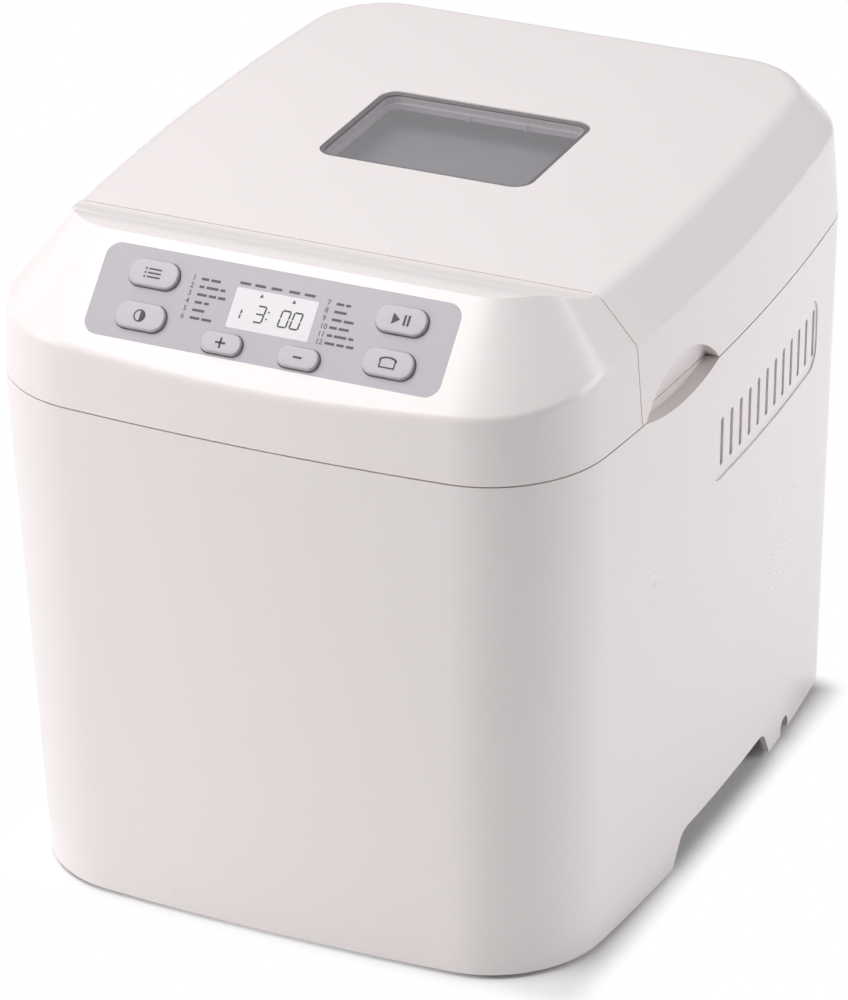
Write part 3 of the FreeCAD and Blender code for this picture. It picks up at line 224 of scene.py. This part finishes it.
# colours are as seen on screen, texture scales are per metre, and rims and grain depths are in mm
finishLooks = {
    "white_shell": (mouldedFinish, {
        "color": (236, 229, 229), "shade": (233, 226, 226), "rough": (0.26, 0.3), "grain": 0.0,
        "sockets": {"IOR": 1.46, "Coat Weight": 0.25, "Coat Roughness": 0.16}}),
    "silver_panel": (mouldedFinish, {
        "color": (169, 164, 170), "shade": (164, 159, 166), "rough": (0.36, 0.46),
        "grainScale": 2600.0, "grain": 0.15, "sockets": {"Metallic": 0.15}}),
    "button_plastic": (mouldedFinish, {
        "color": (181, 177, 182), "shade": (177, 173, 178), "rough": (0.28, 0.36), "grain": 0.02,
        "sockets": {"Coat Weight": 0.2}}),
    "display_glass": (mouldedFinish, {
        "color": (216, 213, 217), "shade": (208, 205, 209), "rough": (0.1, 0.16), "grain": 0.0}),
    "window_glass": (mouldedFinish, {
        "color": (186, 184, 188), "shade": (180, 178, 182), "rough": (0.04, 0.08), "grain": 0.0,
        "sockets": {"Alpha": 0.3, "IOR": 1.5, "Coat Weight": 0.5}}),
    # inner pane of an almost opaque, even grey that hides the chamber behind it
    "grey_inner_pane": (mouldedFinish, {
        "color": (168, 166, 171), "shade": (156, 154, 159), "rough": (0.2, 0.3), "grain": 0.01,
        "sockets": {"Alpha": 0.92, "IOR": 1.5}}),
    "grey_gasket": (mouldedFinish, {
        "color": (116, 113, 117), "shade": (106, 103, 107), "rough": (0.4, 0.55), "grain": 0.2}),
    # window gasket: its own dark grey on the rim, and a pale wall below it that is painted reflection
    "window_rim_painted_reflection": (rimAndPaintedReflectionFinish, {
        "node": "window_gasket", "tilt": lidTilt, "color": (116, 113, 117), "wall": (226, 217, 223),
        "rim": 0.7, "fade": 0.3, "rough": (0.4, 0.55), "grainScale": 900.0, "grainDetail": 3.0}),
    "pale_ledge": (mouldedFinish, {
        "color": (214, 205, 211), "shade": (206, 197, 203), "rough": (0.35, 0.45)}),
    "dark_rubber": (mouldedFinish, {
        "color": (44, 44, 45), "shade": (36, 36, 37), "rough": (0.6, 0.8), "grain": 0.4}),
    "grey_plastic": (mouldedFinish, {
        "color": (190, 189, 189), "shade": (180, 179, 179), "rough": (0.4, 0.55), "grain": 0.25}),
    "sheet_steel": (brushedFinish, {
        "color": (205, 205, 206), "shade": (176, 176, 178), "rough": (0.24, 0.42), "stretch": (1, 1, 22),
        "lineScale": 60.0, "sockets": {"Metallic": 0.9}}),
    "turned_steel": (brushedFinish, {
        "color": (210, 210, 212), "shade": (170, 170, 173), "rough": (0.18, 0.32), "stretch": (1, 1, 30),
        "lineScale": 90.0, "sockets": {"Metallic": 1.0}}),
    "cast_alloy": (mouldedFinish, {
        "color": (186, 187, 189), "shade": (166, 167, 170), "rough": (0.4, 0.6),
        "grainScale": 500.0, "grain": 0.5, "grainDepth": 0.1, "sockets": {"Metallic": 0.85}}),
    "bronze_bush": (brushedFinish, {
        "color": (204, 164, 96), "shade": (172, 132, 70), "rough": (0.25, 0.4), "stretch": (1, 1, 20),
        "lineScale": 80.0, "sockets": {"Metallic": 1.0}}),
    "nonstick_coat": (speckledFinish, {
        "color": (62, 62, 64), "fleckColor": (140, 140, 142), "fleckScale": 420.0, "fleck": 0.16,
        "fleckFade": 0.06, "rough": (0.35, 0.5), "cloudScale": 40.0, "grainScale": 700.0, "grainDepth": 0.06,
        "grain": 0.2}),
    "element_sheath": (mouldedFinish, {
        "color": (86, 82, 78), "shade": (60, 58, 58), "rough": (0.4, 0.6), "driftScale": 60.0, "grain": 0.4,
        "sockets": {"Metallic": 0.7}}),
    "white_ceramic": (mouldedFinish, {
        "color": (236, 233, 226), "shade": (226, 222, 214), "rough": (0.3, 0.45), "grain": 0.2}),
    "circuit_board": (boardFinish, {
        "color": (26, 98, 54), "shade": (22, 88, 48), "track": (58, 132, 82), "trackScale": 180.0,
        "trackWidth": 0.03, "stagger": 0.5, "turn": (0.8, 0, 0), "rough": (0.3, 0.5), "cloudScale": 60.0}),
    "board_parts": (mouldedFinish, {
        "color": (48, 48, 50), "shade": (38, 38, 40), "rough": (0.4, 0.55), "grain": 0.2}),
    "ribbon_grey": (brushedFinish, {
        "color": (196, 196, 198), "shade": (150, 150, 153), "rough": (0.4, 0.5), "stretch": (1, 1, 0.05),
        "lineScale": 700.0}),
    "dark_print": (mouldedFinish, {
        "color": (66, 66, 72), "shade": (60, 60, 66), "rough": (0.45, 0.55), "grain": 0.05}),
    "grey_print": (mouldedFinish, {
        "color": (84, 82, 88), "shade": (78, 76, 82), "rough": (0.45, 0.55), "grain": 0.05}),
}
# each node takes its slot's finish, apart from two pieces of the window
nodeFinish = {**nodeSlot, "window_inner_pane": "grey_inner_pane", "window_gasket": "window_rim_painted_reflection"}
finishes = {name: make(name, look) for name, (make, look) in finishLooks.items()}
for name, piece in nodes.items():
    piece.data.materials.clear()
    piece.data.materials.append(finishes[nodeFinish[name]])
print("finishes made:", len(finishes))


def addPiece(name, bm, finish, body):
    mesh = bpy.data.meshes.new(name)
    bm.to_mesh(mesh)
    bm.free()
    mesh.materials.append(finishes[finish])
    piece = bpy.data.objects.new(name, mesh)
    scene.collection.objects.link(piece)
    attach(piece, body)
    return piece


# smooth shells over the solids that show: welded, with soft shading and a small round on hard edges
skinLook = {"weld": 0.002, "flat": 0.05, "sharp": 26, "roundFrom": 36, "roundSegments": 2}  # mm and degrees
skins = {  # width of the round in mm, and 0 where the solid's own edges are kept
    "body_casing": 0.5, "front_fascia": 0.4, "lid_shell": 0.4, "control_overlay": 0.15, "display_lens": 0.0,
    "window_pane": 0.3, "window_gasket": 0.3, "window_inner_pane": 0.2, "lid_liner": 0.4, "lid_seal": 0.4,
    "bread_pan": 0.4, "pan_handle": 0.0, "handle_pivots": 0.3, "kneading_paddle": 0.6, "chamber_liner": 0.0,
    "chamber_collar": 0.4, "hinge_brackets": 0.3, "rubber_feet": 0.5, "base_plate": 0.4, "cord_gland": 0.4,
    "heating_element": 0.0, "button_left_upper": 0.0, "button_left_lower": 0.0, "button_right_upper": 0.0,
    "button_right_lower": 0.0, "button_plus": 0.0, "button_minus": 0.0, "hinge_pins": 0.1,
}


def weld(bm):
    bmesh.ops.remove_doubles(bm, verts=bm.verts, dist=skinLook["weld"] * mm)


def smoothFaces(bm, sharpAngle):
    for face in bm.faces:
        face.smooth = True
    for edge in bm.edges:
        edge.smooth = edge.calc_face_angle(0) < math.radians(sharpAngle)


def roundEdges(piece, width, look):
    soft = piece.modifiers.new("edge round", "BEVEL")
    soft.width = width * mm
    soft.segments = look["roundSegments"]
    soft.limit_method = "ANGLE"
    soft.angle_limit = math.radians(look["roundFrom"])
    even = piece.modifiers.new("even shading", "WEIGHTED_NORMAL")
    even.keep_sharp = True


def makeSkin(node, rounding, look):
    bm = bmesh.new()
    bm.from_mesh(nodes[node].data)
    weld(bm)
    if rounding:
        flat = math.radians(look["flat"])
        bmesh.ops.dissolve_limit(bm, angle_limit=flat, verts=bm.verts, edges=bm.edges)
    smoothFaces(bm, look["sharp"])
    piece = addPiece(node + "_skin", bm, nodeFinish[node], nodeBody[node])
    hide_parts(node)
    if rounding:
        roundEdges(piece, rounding, look)


for node, rounding in skins.items():
    makeSkin(node, rounding, skinLook)
print("skins made:", len(skins))

# the control panel's own plane: across, up the slope and out of it, from the way a button travels
pressAxis = next(Vector(joint["axis"]) for joint in frame["joints"] if joint["name"] == "button_plus_press")
outWay = -pressAxis.normalized()
acrossWay = Vector((1, 0, 0))
upWay = outWay.cross(acrossWay)

# marks on the panel are drawn flat in mm, x across and v up the slope, and are then laid on it
printLook = {"thick": 0.06, "lift": 0.02}


def topOn(node):  # middle of the face that a panel piece shows
    low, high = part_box(node)
    middle = (low + high) / 2
    reach = max((vertex.co - middle).dot(outWay) for vertex in nodes[node].data.vertices)
    return middle + outWay * reach


def ontoPanel(bm, node):  # lays marks that were drawn flat on the face of a panel piece
    turn = Matrix((acrossWay, upWay, outWay)).transposed().to_4x4()
    shift = Matrix.Translation(topOn(node) + outWay * printLook["lift"] * mm)
    bmesh.ops.transform(bm, matrix=shift @ turn, verts=bm.verts)


def addBar(bm, x, v, width, height, turn=0.0):  # a flat printed bar, in mm and degrees
    thick = printLook["thick"] * mm
    bmesh.ops.create_cube(bm, size=1, matrix=Matrix.Translation((x * mm, v * mm, thick / 2))
                          @ Matrix.Rotation(math.radians(turn), 4, "Z")
                          @ Matrix.Diagonal((width * mm, height * mm, thick, 1)))


# display digits, each of slanted bars, with a colon and two small pointers over them
displayLook = {"bar": 0.6, "gap": 0.2, "slant": 0.09, "colonX": -1.5, "colonV": (-2.4, 0.4),
               "digits": ((-13.4, -2.1, 2.2, 3.8, "1"), (-4.7, -1.0, 3.4, 6.4, "3"),  # x, v, width, height
                          (5.5, -1.0, 3.4, 6.4, "0"), (10.4, -1.0, 3.4, 6.4, "0")),
               "pointers": (-6.7, 6.7), "pointerV": 6.0, "pointerSize": 1.9}
litBars = {"0": "abcdef", "1": "bc", "3": "abgcd"}


def addDigit(bm, x, v, wide, tall, digit, look):
    bar, gap = look["bar"], look["gap"]
    half = tall / 2
    level, upright = (wide - 2 * gap, bar), (bar, half - 2 * gap)
    bars = {"a": (0, half, *level), "g": (0, 0, *level), "d": (0, -half, *level),
            "b": (wide / 2, half / 2, *upright), "c": (wide / 2, -half / 2, *upright),
            "f": (-wide / 2, half / 2, *upright), "e": (-wide / 2, -half / 2, *upright)}
    for letter in litBars[digit]:
        offX, offV, width, height = bars[letter]
        addBar(bm, x + offX, v + offV, width, height)


def addPointer(bm, x, v, size):  # a small triangle that points up
    bmesh.ops.create_cone(bm, cap_ends=True, segments=3, radius1=size / 2 * mm, radius2=size / 2 * mm,
                          depth=printLook["thick"] * mm, matrix=Matrix.Translation((x * mm, v * mm, 0)))


def makeDisplayDigits(look):
    bm = bmesh.new()
    for x, v, wide, tall, digit in look["digits"]:
        addDigit(bm, x, v, wide, tall, digit, look)
    for v in look["colonV"]:
        addBar(bm, look["colonX"], v, look["bar"], look["bar"])
    for x in look["pointers"]:
        addPointer(bm, x, look["pointerV"], look["pointerSize"])
    lean = Matrix.Identity(4)
    lean[0][1] = look["slant"]
    bmesh.ops.transform(bm, matrix=lean, verts=bm.verts)
    ontoPanel(bm, "display_lens")
    addPiece("display_digits", bm, "dark_print", "housing")


makeDisplayDigits(displayLook)

# generic marks on the panel: plain numbers, each with a short row of dashes, and dashes over the display
listLook = {"rows": 6, "topV": 10.2, "pitch": 3.1, "columns": (-36.0, 20.1), "size": 3.0, "dashGap": 3.9,
            "dashes": ((3, 4), (2, 5, 2), (4, 3, 3), (3, 2), (5,), (4, 4)), "dashShift": 3,
            "dashHeight": 1.0, "space": 0.9,
            "overX": (-14.2, -8.0, -1.2, 6.2, 12.6), "overWidth": 4.4, "overV": 11.5}


def addText(bm, text, x, v, size):
    halfThick = printLook["thick"] / 2 * mm
    curve = bpy.data.curves.new("mark", "FONT")
    curve.body = text
    curve.size = size * mm
    curve.extrude = halfThick
    curve.align_x = "LEFT"
    curve.align_y = "CENTER"
    holder = bpy.data.objects.new("mark", curve)
    mesh = bpy.data.meshes.new_from_object(holder)
    mesh.transform(Matrix.Translation((x * mm, v * mm, halfThick)))
    bm.from_mesh(mesh)
    bpy.data.objects.remove(holder)
    bpy.data.curves.remove(curve)
    bpy.data.meshes.remove(mesh)


def addDashes(bm, x, v, widths, look):
    for width in widths:
        addBar(bm, x + width / 2, v, width, look["dashHeight"])
        x += width + look["space"]


def makePanelList(look):
    bm = bmesh.new()
    for column, x in enumerate(look["columns"]):
        for row in range(look["rows"]):
            v = look["topV"] - row * look["pitch"]
            addText(bm, str(column * look["rows"] + row + 1), x, v, look["size"])
            widths = look["dashes"][(row + look["dashShift"] * column) % len(look["dashes"])]
            addDashes(bm, x + look["dashGap"], v, widths, look)
    for x in look["overX"]:
        addBar(bm, x, look["overV"], look["overWidth"], look["dashHeight"])
    weld(bm)
    ontoPanel(bm, "control_overlay")
    addPiece("panel_list", bm, "grey_print", "housing")


makePanelList(listLook)


# one generic sign on each button cap, drawn with bars
def drawMenu(bm, look):  # three lines, each with a dot
    for v in look["rows"]:
        addBar(bm, look["lineX"], v, *look["line"])
        addBar(bm, look["dotX"], v, *look["dot"])


def drawShade(bm, look):  # a ring, with strips that fill its right half
    steps, radius = look["ringSteps"], look["radius"]
    length = 2 * math.pi * radius / (steps - look["ringLap"])
    for index in range(steps):
        angle = index * 360 / steps
        x, v = radius * math.cos(math.radians(angle)), radius * math.sin(math.radians(angle))
        addBar(bm, x, v, look["ringWidth"], length, angle)
    for index in range(look["strips"]):
        x = look["stripPitch"] * (index + 1)
        addBar(bm, x, 0, look["stripWidth"], 2 * math.sqrt(look["fillSquare"] - x * x))


def drawStart(bm, look):  # a triangle of narrowing strips, and two bars
    for index in range(look["strips"]):
        x = look["left"] + index * look["stripPitch"]
        addBar(bm, x, 0, look["stripWidth"], look["tall"] * (1 - index / look["strips"]))
    for x in look["bars"]:
        addBar(bm, x, 0, look["barWidth"], look["tall"])


def drawLoaf(bm, look):  # a base, two sides and a round top
    addBar(bm, 0, look["baseV"], *look["base"])
    for x in look["sides"]:
        addBar(bm, x, look["sideV"], *look["side"])
    halfWidth, rise = look["arch"]
    for index in range(look["archSteps"] + 1):
        angle = math.radians(index * 180 / look["archSteps"])
        addBar(bm, halfWidth * math.cos(angle), look["archV"] + rise * math.sin(angle), *look["dot"])


def drawBars(bm, look):
    for width, height in look["bars"]:
        addBar(bm, 0, 0, width, height)


buttonSigns = {
    "button_left_upper": (drawMenu, {
        "rows": (-1.6, 0, 1.6), "lineX": 0.6, "line": (5.4, 0.6), "dotX": -3.2, "dot": (0.7, 0.7)}),
    "button_left_lower": (drawShade, {
        "radius": 2.2, "ringWidth": 0.5, "ringSteps": 24, "ringLap": 2, "strips": 8, "stripPitch": 0.25,
        "stripWidth": 0.27, "fillSquare": 4.6}),  # fillSquare is the filled half's radius, squared
    "button_right_upper": (drawStart, {
        "left": -3.2, "strips": 8, "stripPitch": 0.36, "stripWidth": 0.38, "tall": 4.2, "bars": (1.6, 3.2),
        "barWidth": 0.9}),
    "button_right_lower": (drawLoaf, {
        "base": (6.4, 0.55), "baseV": -1.9, "sides": (-3, 3), "side": (0.55, 2.8), "sideV": -0.6,
        "arch": (3.2, 1.3), "archV": 0.8, "archSteps": 12, "dot": (0.7, 0.7)}),
    "button_plus": (drawBars, {"bars": ((4.2, 0.8), (0.8, 4.2))}),
    "button_minus": (drawBars, {"bars": ((3.6, 0.8),)}),
}
for button, (draw, look) in buttonSigns.items():
    bm = bmesh.new()
    draw(bm, look)
    ontoPanel(bm, button)
    addPiece(button + "_sign", bm, "dark_print", nodeBody[button])
print("panel marks made")

# pale ledge under the window pane, with two ribs on its far wall, in mm
ledgeLook = {"wall": 1.2, "depth": 2.4, "corner": 6.0, "cornerSegments": 6, "drop": 0.1, "tilt": lidTilt,
             "ribs": (-8.0, 17.0), "ribWidth": 0.9, "ribProud": 0.7}


def makeWindowLedge(look):
    low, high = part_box("window_pane")
    middle = (low + high) / 2
    tilt = math.radians(look["tilt"])
    paneThick = high.z - low.z - (high.y - low.y) * math.sin(tilt)
    size = (high.x - low.x, high.y - low.y, look["depth"] * mm)
    bm = bmesh.new()
    bmesh.ops.create_cube(bm, size=1, matrix=Matrix.Diagonal((*size, 1)))
    uprights = [edge for edge in bm.edges if abs(edge.verts[0].co.z - edge.verts[1].co.z) > size[2] / 2]
    bmesh.ops.bevel(bm, geom=uprights, offset=look["corner"] * mm, affect="EDGES",
                    segments=look["cornerSegments"], profile=0.5, material=-1)
    flats = [face for face in bm.faces if abs(face.normal.z) > abs(face.normal.x) + abs(face.normal.y)]
    bmesh.ops.delete(bm, geom=flats, context="FACES")
    bmesh.ops.solidify(bm, geom=bm.faces[:], thickness=look["wall"] * mm)
    for x in look["ribs"]:
        rib = Matrix.Translation((x * mm, size[1] / 2 - (look["wall"] + look["ribProud"] / 2) * mm, 0))
        bmesh.ops.create_cube(bm, size=1, matrix=rib @ Matrix.Diagonal(
            (look["ribWidth"] * mm, (look["ribProud"] + look["wall"]) * mm, size[2], 1)))
    drop = paneThick / 2 + (look["drop"] + look["depth"] / 2) * mm
    turn = Matrix.Rotation(tilt, 4, "X")
    seat = Matrix.Translation(middle) @ turn @ Matrix.Translation((0, 0, -drop))
    bmesh.ops.transform(bm, matrix=seat, verts=bm.verts)
    bmesh.ops.recalc_face_normals(bm, faces=bm.faces)
    addPiece("window_ledge", bm, "pale_ledge", "lid")


makeWindowLedge(ledgeLook)
print("window ledge made")

# pale baffle close behind the slots of each side wall, bent to follow the wall, in mm
baffleLook = {"bend": 1113.0, "inset": 5.0, "thick": 1.0, "front": -16.0, "rear": 107.0, "bottom": 161.0,
              "top": 191.0, "steps": 16}


def makeVentBaffles(look):
    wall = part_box("body_casing")[1].x
    outer = wall - look["inset"] * mm
    inner = outer - look["thick"] * mm
    center = (wall - look["bend"] * mm, 0, 0)
    start, end = (math.asin(look[key] / look["bend"]) for key in ("front", "rear"))
    bm = bmesh.new()
    spots = ((inner, look["bottom"]), (outer, look["bottom"]), (outer, look["top"]), (inner, look["top"]))
    face = bm.faces.new([bm.verts.new((x, 0, z * mm)) for x, z in spots])
    bmesh.ops.rotate(bm, cent=center, matrix=Matrix.Rotation(start, 3, "Z"), verts=bm.verts)
    bmesh.ops.spin(bm, geom=[face, *face.edges, *face.verts], cent=center, axis=(0, 0, 1),
                   angle=end - start, steps=look["steps"])
    bmesh.ops.mirror(bm, geom=bm.verts[:] + bm.edges[:] + bm.faces[:], axis="X", merge_dist=-1)
    bmesh.ops.recalc_face_normals(bm, faces=bm.faces)
    addPiece("vent_baffles", bm, "white_shell", "housing")


makeVentBaffles(baffleLook)
print("vent baffles made")

# floor that takes the shadow and turns to plain white a little way out from the object's foot, in metres
stageLook = {"floorSize": 9.0, "middle": (0, -0.015, 0), "foot": (0.119, 0.128, 0), "whiteOut": 0.016,
             "floorColor": (250, 250, 250), "floorRough": 0.8, "floorGloss": 0.1,
             "whiteFor": ("Is Camera Ray", "Is Glossy Ray", "Is Transmission Ray")}


def floorFinish(look):
    material, wire, shader = newMaterial("floor", {
        "Base Color": seen(*look["floorColor"]), "Roughness": look["floorRough"],
        "Specular IOR Level": look["floorGloss"]})
    spot = wire.node("TexCoord", output="Object")
    centered = wire.node("VectorMath", {"operation": "SUBTRACT"}, {0: spot, 1: look["middle"]})
    mirrored = wire.node("VectorMath", {"operation": "ABSOLUTE"}, {0: centered})
    outside = wire.node("VectorMath", {"operation": "SUBTRACT"}, {0: mirrored, 1: look["foot"]})
    beyond = wire.node("VectorMath", {"operation": "MAXIMUM"}, {0: outside, 1: (0, 0, 0)})
    away = wire.node("VectorMath", {"operation": "LENGTH"}, {0: beyond}, "Value")
    far = wire.node("MapRange", {"interpolation_type": "SMOOTHSTEP"}, {
        "Value": away, "From Min": 0.0, "From Max": look["whiteOut"]})
    camera, glossy, through = (wire.node("LightPath", output=ray) for ray in look["whiteFor"])
    shown = wire.math("MINIMUM", camera + glossy + through, 1.0)
    white = wire.node("Emission", None, {"Color": (1, 1, 1, 1), "Strength": 1.0})
    mixed = wire.node("MixShader", None, {0: far * shown, 1: Wire(wire.tree, shader.outputs[0]), 2: white})
    plug(wire, wire.tree.nodes["Material Output"], "Surface", mixed)
    return material


def makeFloor(look):
    bm = bmesh.new()
    bmesh.ops.create_grid(bm, x_segments=1, y_segments=1, size=look["floorSize"] / 2)
    mesh = bpy.data.meshes.new("floor")
    bm.to_mesh(mesh)
    bm.free()
    mesh.materials.append(floorFinish(look))
    floor = bpy.data.objects.new("floor", mesh)
    scene.collection.objects.link(floor)


makeFloor(stageLook)

# white surroundings for the camera, and a dim even light for the object
worldLook = {"light": 0.17, "seen": 1.0}


def makeWorld(look):
    world = bpy.data.worlds.new("studio")
    world.use_nodes = True
    scene.world = world
    wire = Wire(world.node_tree)
    background = world.node_tree.nodes["Background"]
    background.inputs["Color"].default_value = (1, 1, 1, 1)
    camera = wire.node("LightPath", output="Is Camera Ray")
    plug(wire, background, "Strength", between((look["light"], look["seen"]), camera))


makeWorld(worldLook)

# three soft lamps round the object, in metres and watts
lampLooks = {
    "top softbox": {"from": (-0.5, -0.28, 1.6), "to": (0, 0, 0.2), "size": (1.5, 1.3), "power": 24.5,
                    "tint": (1, 1, 1)},
    "left softbox": {"from": (-1.36, -1.24, 0.75), "to": (0, 0, 0.12), "size": (1.0, 1.5), "power": 12.8,
                     "tint": (1, 0.965, 0.96)},
    "right softbox": {"from": (1.65, 0.8, 0.6), "to": (0, 0, 0.12), "size": (1.0, 1.3), "power": 16.3,
                      "tint": (1, 0.985, 1)},
}


def addLamp(name, look):
    lamp = bpy.data.lights.new(name, "AREA")
    lamp.shape = "RECTANGLE"
    lamp.size, lamp.size_y = look["size"]
    lamp.energy = look["power"]
    lamp.color = look["tint"]
    holder = bpy.data.objects.new(name, lamp)
    holder.location = look["from"]
    aim = Vector(look["to"]) - Vector(look["from"])
    holder.rotation_euler = aim.to_track_quat("-Z", "Y").to_euler()
    scene.collection.objects.link(holder)


for name, look in lampLooks.items():
    addLamp(name, look)

# camera at the photograph's viewing angle, in degrees and metres, with its lens in mm
cameraLook = {"azimuth": 26.37, "elevation": 27.30, "roll": -1.37, "distance": 2.1125, "lens": 189.535,
              "aim": (0, 0, 0.13), "aimRight": -0.00455, "aimUp": -0.00928}


def makeCamera(look):
    azimuth, elevation, roll = (math.radians(look[key]) for key in ("azimuth", "elevation", "roll"))
    back = Vector((math.sin(azimuth) * math.cos(elevation), -math.cos(azimuth) * math.cos(elevation),
                   math.sin(elevation)))
    right = Vector((math.cos(azimuth), math.sin(azimuth), 0))
    up = back.cross(right)
    aim = Vector(look["aim"]) + right * look["aimRight"] + up * look["aimUp"]
    turnedRight = math.cos(roll) * right + math.sin(roll) * up
    turnedUp = -math.sin(roll) * right + math.cos(roll) * up
    turn = Matrix((turnedRight, turnedUp, back)).transposed().to_4x4()
    data = bpy.data.cameras.new("camera")
    data.lens = look["lens"]
    camera = bpy.data.objects.new("camera", data)
    camera.matrix_world = Matrix.Translation(aim + back * look["distance"]) @ turn
    scene.collection.objects.link(camera)
    scene.camera = camera


makeCamera(cameraLook)
scene.view_settings.view_transform = "Standard"
print("stage, lamps and camera ready")
